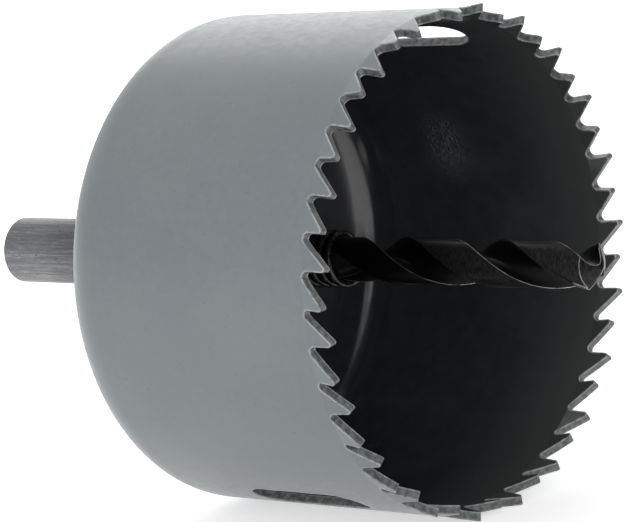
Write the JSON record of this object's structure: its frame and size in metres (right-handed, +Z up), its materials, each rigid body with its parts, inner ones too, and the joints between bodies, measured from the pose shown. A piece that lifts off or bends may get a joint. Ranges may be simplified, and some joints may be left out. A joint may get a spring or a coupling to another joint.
{
  "type": "hole saw",
  "caption": "Drawn-cup hole saw with set teeth and side slots, on an arbor with a round shank, a pilot drill and an ejector spring.",
  "frame": {"origin": "centre of the shank's free end face, on the saw's turning axis", "axes": "+X along the turning axis from the shank to the teeth, +Z up as the saw lies on its side, +Y across"},
  "size_m": [0.1027, 0.068, 0.0674],
  "materials": {
    "painted_steel": "satin grey paint, thinner on the cut edges",
    "bare_steel": "turned and scratched",
    "black_oxide": "black oxide, bright on the sharp edges",
    "spring_steel": "blackened round wire",
    "plated_steel": "dull zinc plate"
  },
  "bodies": {
    "root": {"saw_cup": "painted_steel", "arbor": "bare_steel", "pilot_drill": "black_oxide", "ejector_spring": "spring_steel", "lock_nut": "plated_steel", "lock_washer": "plated_steel", "grub_screw": "black_oxide"}
  },
  "joints": []
}
